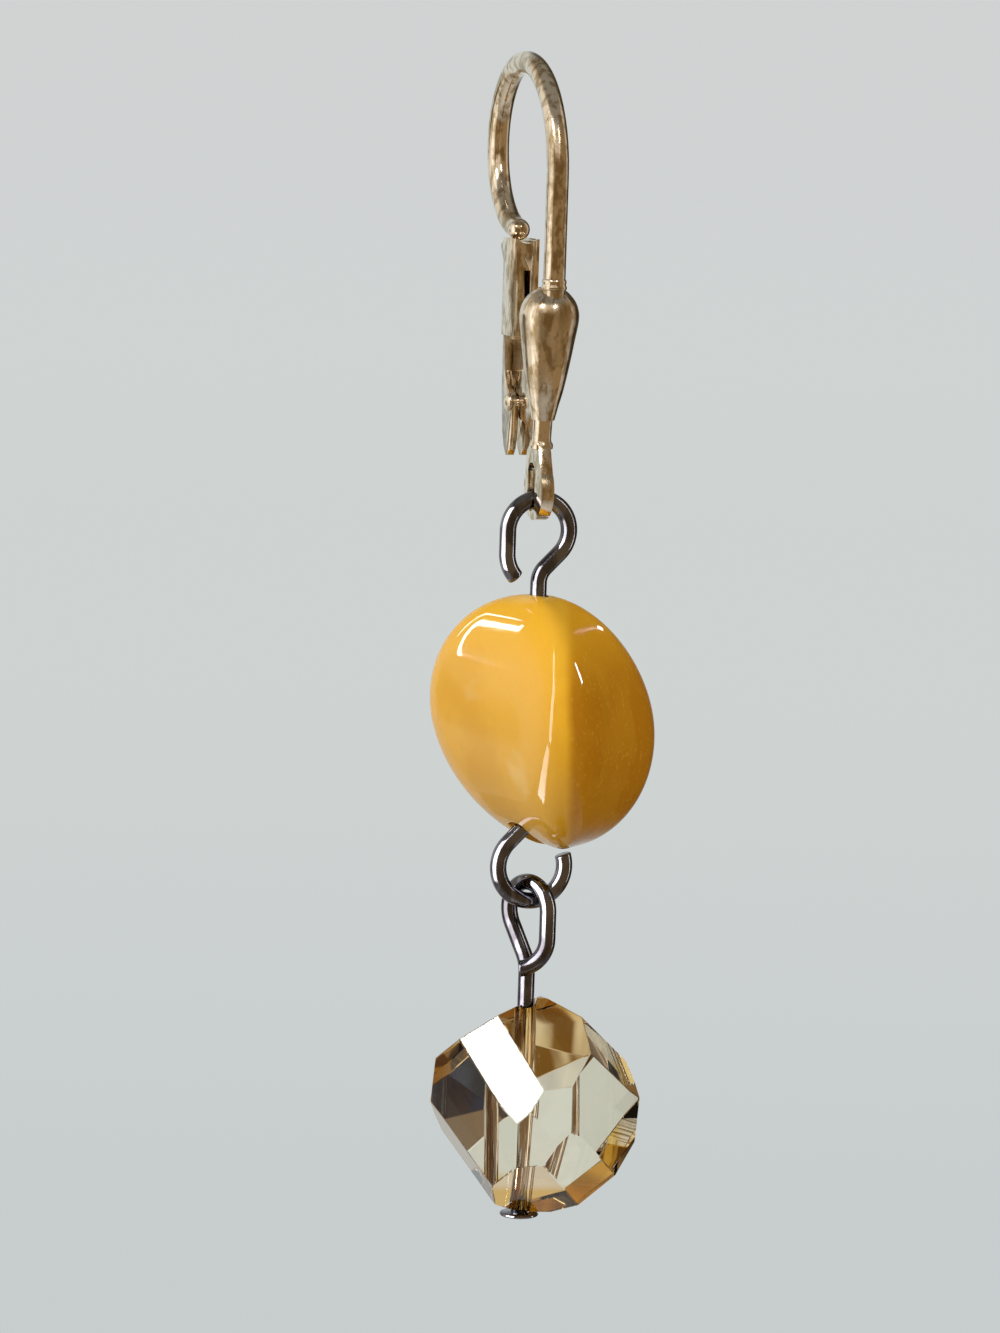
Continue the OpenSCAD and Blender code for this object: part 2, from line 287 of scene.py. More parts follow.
class WireSweep:
    """Round wire drawn by moving forward and turning, with bmesh's extrude and spin."""

    def __init__(
        self, radius: float, start: Vector, heading: Vector, normal: Vector, sides: int = 32
    ) -> None:
        """Begin with a flat cut end.

        Args:
            radius: Radius of the wire.
            start: Centre of the cut end.
            heading: Direction in which the wire runs.
            normal: Axis that a left turn goes round.
            sides: Sides of the section.
        """
        self.radius = radius
        self.place = start.copy()
        self.heading = heading.normalized()
        self.normal = normal.normalized()
        self.bm = bmesh.new()
        made = bmesh.ops.create_circle(self.bm, cap_ends=True, radius=radius, segments=sides)
        bmesh.ops.transform(self.bm, matrix=aimed(start, self.heading), verts=made["verts"])
        self.ring = list(self.bm.edges)
        self._round_start()

    def _verts(self) -> list[bmesh.types.BMVert]:
        """Collect the vertices of the open end.

        Returns:
            The vertices.
        """
        return list({v for e in self.ring for v in e.verts})

    def _extrude(self) -> None:
        """Grow a new open end on top of the present one."""
        grown = bmesh.ops.extrude_edge_only(self.bm, edges=self.ring)["geom"]
        self.ring = [e for e in grown if isinstance(e, bmesh.types.BMEdge)]
        ends = {v for v in grown if isinstance(v, bmesh.types.BMVert)}
        self.ring = [e for e in self.ring if all(v in ends for v in e.verts)]

    def _scale(self, factor: float) -> None:
        """Scale the open end about its centre.

        Args:
            factor: The factor.
        """
        space = Matrix.Translation(-self.place)
        bmesh.ops.scale(self.bm, vec=(factor,) * 3, space=space, verts=self._verts())

    def _move(self, length: float) -> None:
        """Move the open end forward.

        Args:
            length: How far.
        """
        bmesh.ops.translate(self.bm, vec=self.heading * length, verts=self._verts())
        self.place += self.heading * length

    def _round_start(self) -> None:
        """Round the start of the wire a little."""
        self._scale(1 - CUT_ROUNDING / self.radius)
        self._extrude()
        self._move(CUT_ROUNDING)
        self._scale(self.radius / (self.radius - CUT_ROUNDING))

    def straight(self, length: float, steps: int = 1) -> "WireSweep":
        """Run straight on.

        Args:
            length: How far.
            steps: Number of stretches.

        Returns:
            The wire.
        """
        for _ in range(steps):
            self._extrude()
            self._move(length / steps)
        return self

    def turn(self, radius: float, angle: float) -> "WireSweep":
        """Bend round, to the left for a positive angle.

        Args:
            radius: Radius of the bend, to the wire's centreline.
            angle: Angle in degrees.

        Returns:
            The wire.
        """
        side = self.normal.cross(self.heading) * math.copysign(radius, angle)
        centre = self.place + side
        steps = max(3, round(abs(angle) / 4))
        grown = bmesh.ops.spin(
            self.bm, geom=self._verts() + self.ring, cent=centre, axis=self.normal,
            angle=math.radians(angle), steps=steps, use_duplicate=False,
        )["geom_last"]
        self.ring = [e for e in grown if isinstance(e, bmesh.types.BMEdge)]
        swing = Matrix.Rotation(math.radians(angle), 3, self.normal)
        self.place = centre + swing @ (self.place - centre)
        self.heading = (swing @ self.heading).normalized()
        return self

    def tilt_plane(self, angle: float, axis: Vector) -> "WireSweep":
        """Turn the plane of the next bends.

        Args:
            angle: Angle in degrees.
            axis: Axis to turn it about.

        Returns:
            The wire.
        """
        self.normal = Matrix.Rotation(math.radians(angle), 3, axis) @ self.normal
        return self

    def close(self, dome: bool = False) -> Solid:
        """End the wire with a cut end or a dome.

        Args:
            dome: Whether the end is round.

        Returns:
            The finished solid.
        """
        steps, rounding = (8, self.radius) if dome else (2, CUT_ROUNDING)
        flat_top = 0.4 if dome else 0.0
        now, done = 1.0, 0.0
        for k in range(1, steps + 1):
            angle = math.pi / 2 * k / (steps + flat_top)
            goal = 1 - rounding / self.radius * (1 - math.cos(angle))
            move = rounding * math.sin(angle) - done
            self._extrude()
            self._move(move)
            self._scale(goal / now)
            now, done = goal, done + move
        bmesh.ops.edgeloop_fill(self.bm, edges=self.ring)
        return self.bm


def lathe(profile: Sequence[Point2], sides: int) -> Solid:
    """Spin a profile round the Z axis.

    Args:
        profile: Points as (radius, z), the first and last on the axis.
        sides: Steps of the full turn.

    Returns:
        The closed solid.
    """
    bm = bmesh.new()
    chain = [bm.verts.new((r, 0, z)) for r, z in profile]
    edges = [bm.edges.new(pair) for pair in zip(chain, chain[1:])]
    bmesh.ops.spin(
        bm, geom=chain + edges, cent=(0, 0, 0), axis=(0, 0, 1), angle=math.tau,
        steps=sides, use_merge=True, use_duplicate=False,
    )
    bmesh.ops.remove_doubles(bm, verts=bm.verts[:], dist=WELD_SEAM)
    return bm


def flowing(points: Sequence[Point2], steps: int) -> list[Point2]:
    """Run a smooth line through points.

    Args:
        points: The points it passes.
        steps: New points for each stretch.

    Returns:
        The smooth line.
    """
    ends = [points[0], *points, points[-1]]
    line: list[Point2] = []
    for a, b, c, d in zip(ends, ends[1:], ends[2:], ends[3:]):
        for k in range(steps):
            t = k / steps
            line.append(tuple(
                q + 0.5 * t * (
                    r - p + t * (2 * p - 5 * q + 4 * r - s + t * (3 * q - p - 3 * r + s))
                )
                for p, q, r, s in zip(a, b, c, d)
            ))
    line.append(tuple(points[-1]))
    return line


# Finishes


class NodeGraph:
    """Short way to build the nodes of a material or of the world."""

    def __init__(self, tree: bpy.types.NodeTree, space: str) -> None:
        """Empty the tree and fetch the coordinates.

        Args:
            tree: The nodes.
            space: Output of the texture coordinates that patterns follow.
        """
        self.tree = tree
        self.tree.nodes.clear()
        self.coordinates = self.node("ShaderNodeTexCoord").outputs[space]

    def node(self, kind: str, operation: str | None = None) -> bpy.types.Node:
        """Add a node.

        Args:
            kind: Its type.
            operation: What it works out, for a node that has a choice.

        Returns:
            The node.
        """
        made = self.tree.nodes.new(kind)
        if operation is not None:
            made.operation = operation
        return made

    def link(self, source: Socket, target: Socket) -> None:
        """Join two sockets.

        Args:
            source: Output socket.
            target: Input socket.
        """
        self.tree.links.new(source, target)

    def noise(
        self, scale: float, detail: float, roughness: float = 0.55, stretch: tuple = (1, 1, 1)
    ) -> Socket:
        """Add a noise.

        Args:
            scale: Waves in one unit of the coordinates.
            detail: Octaves.
            roughness: Share of the finer octaves.
            stretch: Factors along X, Y and Z.

        Returns:
            The noise's value.
        """
        mapping = self.node("ShaderNodeMapping")
        mapping.inputs["Scale"].default_value = stretch
        self.link(self.coordinates, mapping.inputs["Vector"])
        noise = self.node("ShaderNodeTexNoise")
        for name, number in (("Scale", scale), ("Detail", detail), ("Roughness", roughness)):
            noise.inputs[name].default_value = number
        self.link(mapping.outputs["Vector"], noise.inputs["Vector"])
        return noise.outputs[0]

    def dot(self, direction: Sequence[float]) -> Socket:
        """Add the distance along a direction.

        Args:
            direction: The direction.

        Returns:
            The coordinates' dot product with it.
        """
        product = self.node("ShaderNodeVectorMath", "DOT_PRODUCT")
        product.inputs[1].default_value = direction
        self.link(self.coordinates, product.inputs[0])
        return product.outputs["Value"]

    def ranged(
        self, value: Socket, low: float, high: float, to_low: float = 0.0, to_high: float = 1.0,
        smooth: bool = False,
    ) -> Socket:
        """Map a value to another range.

        Args:
            value: The value.
            low: Start of its range.
            high: End of its range.
            to_low: Result at the start.
            to_high: Result at the end.
            smooth: Whether it eases in and out.

        Returns:
            The mapped value.
        """
        span = self.node("ShaderNodeMapRange")
        span.interpolation_type = "SMOOTHSTEP" if smooth else "LINEAR"
        for name, number in (("From Min", low), ("From Max", high), ("To Min", to_low), ("To Max", to_high)):
            span.inputs[name].default_value = number
        self.link(value, span.inputs["Value"])
        return span.outputs["Result"]

    def blend(self, factor: Socket, low: Rgb | Socket, high: Rgb | Socket) -> Socket:
        """Blend two colours.

        Args:
            factor: Share of the second.
            low: First colour or a socket.
            high: Second colour or a socket.

        Returns:
            The blended colour.
        """
        mix = self.node("ShaderNodeMix")
        mix.data_type = "RGBA"
        self.link(factor, mix.inputs["Factor"])
        for socket, colour in zip([s for s in mix.inputs if s.type == "RGBA"], (low, high)):
            if isinstance(colour, tuple):
                socket.default_value = (*colour, 1.0)
            else:
                self.link(colour, socket)
        return [s for s in mix.outputs if s.type == "RGBA"][0]


class NodeSheet(NodeGraph):
    """Procedural material with one principled shader, patterned in object space."""

    def __init__(self, name: str) -> None:
        """Start the material.

        Args:
            name: Its name.
        """
        self.material = bpy.data.materials.new(name)
        self.material.use_nodes = True
        super().__init__(self.material.node_tree, "Object")
        output = self.node("ShaderNodeOutputMaterial")
        self.shader = self.node("ShaderNodeBsdfPrincipled")
        self.link(self.shader.outputs["BSDF"], output.inputs["Surface"])

    def constant(self, **values: float | tuple) -> "NodeSheet":
        """Set constants on the shader.

        Args:
            **values: Socket names in lower case with _ for a space.

        Returns:
            The sheet.
        """
        for socket in self.shader.inputs:
            key = socket.name.lower().replace(" ", "_")
            if key in values:
                socket.default_value = values[key]
        return self

    def drive(self, name: str, value: Socket) -> None:
        """Feed one input of the shader.

        Args:
            name: Name of the input.
            value: What feeds it.
        """
        self.link(value, self.shader.inputs[name])

    def along(self, direction: Sequence[float], low: float, high: float) -> Socket:
        """Add a soft step along a direction.

        Args:
            direction: Direction in the part's frame.
            low: Distance in millimetres at which the step starts.
            high: Distance at which it ends.

        Returns:
            A value from 0 to 1.
        """
        return self.ranged(self.dot(direction), low * MM, high * MM, smooth=True)

    def off_axis(self, x: float, y: float) -> Socket:
        """Add the distance from an upright axis.

        Args:
            x: Where it stands, in millimetres.
            y: The same along Y.

        Returns:
            The distance in metres.
        """
        flat = self.node("ShaderNodeVectorMath", "MULTIPLY")
        flat.inputs[1].default_value = (1.0, 1.0, 0.0)
        self.link(self.coordinates, flat.inputs[0])
        apart = self.node("ShaderNodeVectorMath", "DISTANCE")
        apart.inputs[1].default_value = (x * MM, y * MM, 0.0)
        self.link(flat.outputs["Vector"], apart.inputs[0])
        return apart.outputs["Value"]

    def bump(self, height: Socket, strength: float, distance: float) -> None:
        """Add a fine relief.

        Args:
            height: The relief's height.
            strength: How strong it is.
            distance: Depth in millimetres.
        """
        relief = self.node("ShaderNodeBump")
        relief.inputs["Strength"].default_value = strength
        relief.inputs["Distance"].default_value = distance * MM
        self.link(height, relief.inputs["Height"])
        self.drive("Normal", relief.outputs["Normal"])


@dataclass(frozen=True)
class Tarnish:
    """Worn plated metal: a bright colour under clouds and a fine mottle of tarnish."""

    bright: Rgb
    dull: Rgb
    cloud_scale: float
    mottle_scale: float
    smooth: float
    rough: float
    cover: Point2

    def build(self, name: str) -> bpy.types.Material:
        """Make the material.

        Args:
            name: Its name.

        Returns:
            The material.
        """
        sheet = NodeSheet(name).constant(metallic=1.0)
        drift = sheet.noise(self.cloud_scale, 4.0, 0.6, (1, 1, 0.6))
        grain = sheet.noise(self.mottle_scale, 3.0, 0.6, (1, 1, 0.4))
        clouds = sheet.ranged(drift, *self.cover, 0.0, 0.75, smooth=True)
        mottle = sheet.ranged(grain, 0.45, 0.62, 0.0, 0.8, smooth=True)
        tint = sheet.blend(clouds, self.bright, self.dull)
        sheet.drive("Base Color", sheet.blend(mottle, tint, self.dull))
        sheet.drive("Roughness", sheet.ranged(clouds, 0.0, 0.75, self.smooth, self.rough))
        sheet.bump(sheet.noise(self.mottle_scale, 4.0), 0.18, 0.02)
        return sheet.material


@dataclass(frozen=True)
class AmberGlow:
    """Polished amber-coloured bead: creamy, honey near its border, darker amber on the far side, with
    painted light and shade.

    The far side's colour is partly the bead's own darker amber and partly painted shade of the side
    turned from the light, and it turns lighter and more golden towards its top. A painted pale sheen
    covers the edges seen at grazing angles.

    The border is a plane through the bead, given by its direction and the distances where the change
    starts and ends. Heights and distances are in millimetres.
    """

    pale: Rgb = (0.80, 0.455, 0.068)
    honey: Rgb = (0.78, 0.43, 0.028)
    # Painted shade in part: the far side's colour, partly the bead's own deeper amber and partly the shade
    # of the side turned from the light
    deep_and_shade: Rgb = (0.46, 0.19, 0.005)
    # Colour the far side turns to towards its top: lighter and more golden
    upper_tone: Rgb = (0.68, 0.335, 0.012)
    cream: Rgb = (0.90, 0.66, 0.26)
    # Painted sheen: pale colour laid over the edges that are seen at grazing angles
    rim_sheen: Rgb = (0.86, 0.66, 0.34)
    speckle: Rgb = (0.72, 0.42, 0.05)
    across: tuple[float, float, float] = (0.952, -0.305, 0.031)
    honey_from: Point2 = (0.1, 1.5)
    border: Point2 = (1.34, 1.86)
    crown_from: Point2 = (-23.2, -20.8)
    upper_tone_from: Point2 = (-24.0, -20.6)

    def build(self, name: str) -> bpy.types.Material:
        """Make the material.

        Args:
            name: Its name.

        Returns:
            The material.
        """
        sheet = NodeSheet(name).constant(
            subsurface_weight=0.3, subsurface_radius=(1.0, 0.5, 0.1), subsurface_scale=0.0008,
            ior=1.42, roughness=0.045,
        )
        cloud = sheet.ranged(sheet.noise(260, 3.0), 0.35, 0.65, -0.18, 0.18, smooth=True)
        # Share of the far side, turned from the light, whose darker colour is partly the bead's own tone and
        # partly painted shade
        beyond = sheet.node("ShaderNodeMath", "ADD")
        beyond.use_clamp = True
        sheet.link(sheet.along(self.across, *self.border), beyond.inputs[0])
        sheet.link(cloud, beyond.inputs[1])
        spots = sheet.ranged(sheet.noise(420, 2.0), 0.60, 0.72, 0.0, 0.45, smooth=True)
        creamy = sheet.blend(spots, self.pale, self.cream)
        crown = sheet.blend(sheet.along(UPWARD, *self.crown_from), creamy, self.honey)
        light = sheet.blend(sheet.along(self.across, *self.honey_from), crown, self.honey)
        # The far side turns lighter and more golden towards its top
        dark = sheet.blend(sheet.along(UPWARD, *self.upper_tone_from), self.deep_and_shade, self.upper_tone)
        specks = sheet.ranged(sheet.noise(5200, 2.0), 0.56, 0.74, 0.0, 0.35, smooth=True)
        body = sheet.blend(specks, sheet.blend(beyond.outputs[0], light, dark), self.speckle)
        # Painted sheen: the colour turns pale where the surface is seen at a grazing angle
        facing = sheet.node("ShaderNodeLayerWeight")
        facing.inputs["Blend"].default_value = 0.5
        edge = sheet.ranged(facing.outputs["Facing"], 0.84, 1.0, 0.0, 0.75, smooth=True)
        sheet.drive("Base Color", sheet.blend(edge, body, self.rim_sheen))
        return sheet.material


@dataclass(frozen=True)
class ChampagneGlass:
    """Champagne glass, golden near both ends of its bore; its bore wall is metallic and painted with light
    and dark streaks, a painted reflection of the pin inside.

    The gold starts at two heights and is full half a millimetre beyond them.
    """

    tint: Rgb = (0.99, 0.965, 0.87)
    gold: Rgb = (0.85, 0.52, 0.085)
    # Painted reflection: the light streaks on the bore wall stand for glints of the shiny pin inside
    streak: Rgb = (1.0, 0.98, 0.94)
    between: Rgb = (0.40, 0.27, 0.16)
    gold_below: float = -42.4
    gold_above: float = -36.5
    gold_fade: float = 0.5
    bore_roughness: float = 0.12

    def build(self, name: str) -> bpy.types.Material:
        """Make the material.

        Args:
            name: Its name.

        Returns:
            The material.
        """
        sheet = NodeSheet(name).constant(transmission_weight=1.0, ior=1.58, roughness=0.0)
        below = sheet.along(-UPWARD, -self.gold_below, self.gold_fade - self.gold_below)
        above = sheet.along(UPWARD, self.gold_above, self.gold_above + self.gold_fade)
        body = sheet.blend(above, sheet.blend(below, self.tint, self.gold), self.gold)
        from_axis = sheet.off_axis(PIN_X, PIN_Y)
        drilled = sheet.ranged(from_axis, (GLASS_BORE + 0.01) * MM, (GLASS_BORE + 0.03) * MM, 1.0, 0.0)
        # Painted reflection: light and dark streaks along the bore wall stand in for the shiny pin seen
        # through the glass
        streaks = sheet.ranged(sheet.noise(3600, 2.0, 0.5, (1, 1, 0.04)), 0.50, 0.60)
        pin_glints = sheet.blend(streaks, self.streak, self.between)
        sheet.drive("Base Color", sheet.blend(drilled, body, pin_glints))
        sheet.drive("Roughness", sheet.ranged(drilled, 0.0, 1.0, 0.0, self.bore_roughness))
        sheet.drive("Metallic", drilled)
        return sheet.material


WORN_SILVER = Tarnish(
    bright=(0.97, 0.87, 0.72), dull=(0.39, 0.28, 0.13), cloud_scale=620, mottle_scale=3400,
    smooth=0.12, rough=0.30, cover=(0.47, 0.68),
)
DARK_WIRE = Tarnish(
    bright=(0.27, 0.275, 0.32), dull=(0.07, 0.062, 0.07), cloud_scale=420, mottle_scale=1500,
    smooth=0.09, rough=0.18, cover=(0.46, 0.64),
)


# Sub-assemblies


def lit_group(slot: Slot) -> bpy.types.Collection:
    """Find the group of pieces of one finish, which a light can be kept to.

    Args:
        slot: The finish.

    Returns:
        The group, new at its first use.
    """
    name = f"lit_{slot.value}"
    return bpy.data.collections.get(name) or bpy.data.collections.new(name)


@dataclass
class Part:
    """One sub-assembly of the earring."""

    name: str
    body: Body
    slot: Slot
    replaced: str
    material: bpy.types.Material

    def add(self, bm: Solid, name: str, angle: float) -> bpy.types.Object:
        """Put one finished piece into the scene.

        Args:
            bm: Its shape in millimetres.
            name: Its name.
            angle: Edges sharper than this stay hard.

        Returns:
            The piece.
        """
        obj = smooth_by_angle(to_object(bm, name), angle)
        obj.data.materials.clear()
        obj.data.materials.append(self.material)
        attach(obj, self.body.value)
        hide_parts(self.replaced)
        lit_group(self.slot).objects.link(obj)
        LOG.info("%s: %s, %d faces", self.name, name, len(obj.data.polygons))
        return obj


@dataclass
class EarHook(Part):
    """Ear wire, collars, teardrop shield and the plate with the lug and the ring."""

    wire_r: float = 0.42
    front_r: float = 4.2
    rear_r: float = 3.2
    rear_angle: float = 175.0
    shield_top: float = -8.4
    shield_r: float = 1.13
    tilt: float = 5.5
    axis_y: float = -3.84
    back: float = 0.30
    tail_len: float = 6.15
    sunk: float = 0.6
    ring: Vector = field(default_factory=lambda: Vector((0, -3.17, -16.1)))
    ring_r: float = 1.13
    ring_t: float = 0.48
    slot_r: float = 0.44
    slot_top: float = -15.06
    slot_bottom: float = -16.92
    lug_t: float = 0.24
    lug_r: float = 0.58
    hole_r: float = 0.24
    lever_room: float = 2.36
    rows: tuple = (
        (0.00, 0.40), (0.10, 0.56), (0.28, 0.73), (0.48, 0.865), (0.72, 0.955), (1.00, 1.00), (1.35, 0.985),
        (1.90, 0.91), (2.60, 0.82), (3.30, 0.72), (3.95, 0.61), (4.50, 0.49), (5.00, 0.395),
    )

    def wire(self) -> Solid:
        """Sweep the ear wire from the shield to its tip.

        Returns:
            The solid.
        """
        start = Vector((0, -self.front_r, self.shield_top - self.sunk))
        sweep = WireSweep(self.wire_r, start, UPWARD, SIDEWAYS, 40)
        sweep.straight(-self.front_r - start.z - CUT_ROUNDING, 6)
        return sweep.turn(self.front_r, -90).turn(self.rear_r, -self.rear_angle).close(dome=True)

    def collars(self) -> Solid:
        """Turn the two small rings above the shield.

        Returns:
            The solid.
        """
        low, high = self.shield_top - 0.05, self.shield_top + 0.36
        profile = [
            (0, low), (0.45, low), (0.485, low + 0.05), (0.48, low + 0.13), (0.445, low + 0.19),
            (0.45, low + 0.24), (0.465, low + 0.30), (0.455, low + 0.37), (0.425, high), (0, high),
        ]
        bm = lathe(profile, 64)
        bmesh.ops.translate(bm, verts=bm.verts[:], vec=(0, -self.front_r, 0))
        return bm

    def shield(self) -> Solid:
        """Turn the teardrop, flatten its back and add its tail.

        Returns:
            The solid.
        """
        profile = [(self.shield_r * w, -d) for d, w in self.rows]
        drop = lathe([(0, 0), *flowing(profile, 4), (0, -5.0)], 128)
        behind = box((-3, self.back, -6.5), (3, self.back + 3, 1.5))
        drop = soften(combine(drop, [("DIFFERENCE", behind)]), 0.05, 3, 50)
        tail = lathe([
            (0, -4.4), (0.36, -4.4), (0.375, -4.8), (0.365, -5.3), (0.36, -5.75), (0.385, -5.86),
            (0.44, -5.93), (0.45, -6.02), (0.44, -6.1), (0.37, -self.tail_len), (0, -self.tail_len),
        ], 64)
        bm = combine(drop, [("UNION", tail)])
        lean = Matrix.Rotation(math.radians(self.tilt), 4, "X")
        place = Matrix.Translation((0, self.axis_y, self.shield_top))
        bmesh.ops.transform(bm, matrix=place @ lean, verts=bm.verts[:])
        return bm

    def slot_cut(self) -> Solid:
        """Shape the slot that the drop hangs in.

        Returns:
            The cutter.
        """
        r = self.slot_r
        arc = [math.radians(a) for a in range(0, 181, 12)]
        outline = [(PIN_Y + r * math.cos(a), self.slot_top - r + r * math.sin(a)) for a in arc]
        outline += [(PIN_Y - r * math.cos(a), self.slot_bottom + r - r * math.sin(a)) for a in arc]
        return prism(outline, 3)

    def plate(self) -> list[Solid]:
        """Cut the ring and the lug.

        Returns:
            The two solids.
        """
        neck = prism([
            (-3.6, -14.2), (-2.9, -14.2), (-2.3, -14.6), (-2.08, -15.9), (-3.0, -16.0), (-4.1, -15.5),
        ], self.ring_t, 0.1)
        ring = combine(neck, [
            ("UNION", rod(self.ring_r, self.ring_t, self.ring, SIDEWAYS, 96)),
            ("DIFFERENCE", rod(self.lever_room, 2, HINGE, SIDEWAYS, 128)),
            ("DIFFERENCE", self.slot_cut()),
        ])
        lug = prism([
            (-3.62, -10.75), (0.12, -10.6), (0.16, -11.1), (0.02, -11.9), (-0.42, -12.4), (-0.30, -12.95),
            (-0.50, -13.5), (-1.9, -13.75), (-2.3, -14.2), (-2.3, -15.2), (-3.0, -15.4), (-3.45, -14.0),
        ], self.lug_t, 0.08)
        lug = combine(lug, [
            ("UNION", rod(self.lug_r, self.lug_t, HINGE, SIDEWAYS, 64)),
            ("DIFFERENCE", rod(self.hole_r, 2, HINGE, SIDEWAYS, 48)),
            ("DIFFERENCE", self.slot_cut()),
        ])
        return [soften(ring, 0.11, 3), soften(lug, 0.03, 2)]

    def build(self) -> None:
        """Make every piece of the ear hook."""
        self.add(self.wire(), "hook_wire", 60)
        self.add(self.collars(), "hook_collars", 60)
        self.add(self.shield(), "shield_drop", 38)
        ring, lug = self.plate()
        self.add(ring, "ring_plate", 38)
        self.add(lug, "lever_lug", 38)


@dataclass
class Lever(Part):
    """Folded channel with two cheeks, a saddle and a thumb lip."""

    width: float = 0.96
    cheek: float = 0.80
    channel: float = 0.30
    top: float = -6.7
    step: float = -10.43
    wall_y: float = 0.26
    channel_top: float = -7.9
    fork_top: float = -12.9
    saddle_r: float = 0.48
    saddle_z: float = -6.4
    hole_r: float = 0.24

    def outline(self) -> list[Point2]:
        """List the corners of the lever's side view.

        Returns:
            Corners as (y, z).
        """
        return [
            (-0.83, self.top), (-0.83, self.step), (0.37, self.step), (0.21, -11.8), (-0.10, -12.34),
            (-0.55, -12.77), (-0.80, -13.05), (-0.80, -14.0), (-0.60, -14.75), (-0.42, -15.0),
            (-0.14, -15.02), (0.14, -14.67), (0.36, -14.1), (0.58, -12.6), (0.61, -11.0), (0.59, -7.6),
            (0.95, -7.12), (0.95, -6.98), (0.80, -6.90), (0.59, self.top),
        ]

    def build(self) -> None:
        """Make the lever."""
        half = self.channel / 2
        wide = combine(prism(self.outline(), self.width, 0.03), [
            ("INTERSECT", box((-2, -3, self.step), (2, 3, -5))),
        ])
        shape = combine(prism(self.outline(), self.cheek, 0.03), [
            ("UNION", wide),
            ("DIFFERENCE", box((-half, -3, -16), (half, self.wall_y, self.channel_top))),
            ("DIFFERENCE", box((-half, -3, -16), (half, 3, self.fork_top))),
            ("DIFFERENCE", rod(self.saddle_r, 8, Vector((0, 0, self.saddle_z)), Vector((0, 1, 0)), 96)),
            ("DIFFERENCE", rod(self.hole_r, 4, HINGE, SIDEWAYS, 64)),
        ])
        self.add(soften(shape, 0.035, 2, 35), "lever_channel", 40)


@dataclass
class Rivet(Part):
    """Hinge pin with two low domed heads."""

    radius: float = 0.22
    head: float = 0.36
    reach: float = 0.42
    height: float = 0.2

    def build(self) -> None:
        """Make the rivet."""
        arc = [math.radians(a) for a in range(0, 90, 9)]
        dome = [(self.head * math.cos(a), self.reach + self.height * math.sin(a)) for a in arc]
        upper = [(self.radius, self.reach), *dome, (0, self.reach + self.height)]
        lower = [(r, -z) for r, z in reversed(upper)]
        bm = lathe([*lower, *upper], 64)
        bmesh.ops.transform(bm, matrix=aimed(HINGE, SIDEWAYS), verts=bm.verts[:])
        self.add(bm, "rivet_pin", 40)


@dataclass
class EyePin(Part):
    """Wire through the amber bead with an open loop above and a loop below."""

    radius: float = 0.32
    loop_r: float = 1.22
    loop_x: float = 0.14
    loop_z: float = -17.65
    end_r: float = 1.33
    end_turn: float = 43.0
    end_drop: float = 0.9
    curl: float = 45.0
    neck_r: float = 0.8
    low_r: float = 1.33
    low_x: float = 0.28
    low_z: float = -30.58
    low_neck_r: float = 0.55
    low_sweep: float = 243.0

    def build(self) -> None:
        """Make the eye pin."""
        # Sine and cosine of the curl are the same at 45 degrees
        slant = math.sin(math.radians(self.curl))
        a = math.radians(180 + self.end_turn)
        start = Vector((
            self.loop_x - self.loop_r + self.end_r * (1 + math.cos(a)), PIN_Y,
            self.loop_z - self.end_drop + self.end_r * math.sin(a),
        ))
        heading = Vector((math.sin(a), 0, -math.cos(a)))
        aside = self.loop_r * slant - self.neck_r * (1 - slant) - (PIN_X - self.loop_x)
        stem_top = self.loop_z - self.loop_r * slant - aside - self.neck_r * slant
        low_aside = PIN_X - self.low_neck_r * (1 - slant) - (self.low_x - self.low_r * slant)
        stem_low = self.low_z + self.low_r * slant + low_aside + self.low_neck_r * slant
        sweep = WireSweep(self.radius, start, heading, Vector((0, -1, 0)))
        sweep.turn(self.end_r, -self.end_turn).straight(self.end_drop - CUT_ROUNDING)
        sweep.turn(self.loop_r, -180 - self.curl).straight(aside / slant).turn(self.neck_r, self.curl)
        sweep.straight(stem_top - stem_low, 4)
        sweep.turn(self.low_neck_r, -self.curl).straight(low_aside / slant)
        sweep.turn(self.low_r, self.low_sweep)
        self.add(sweep.close(), "eye_wire", 50)


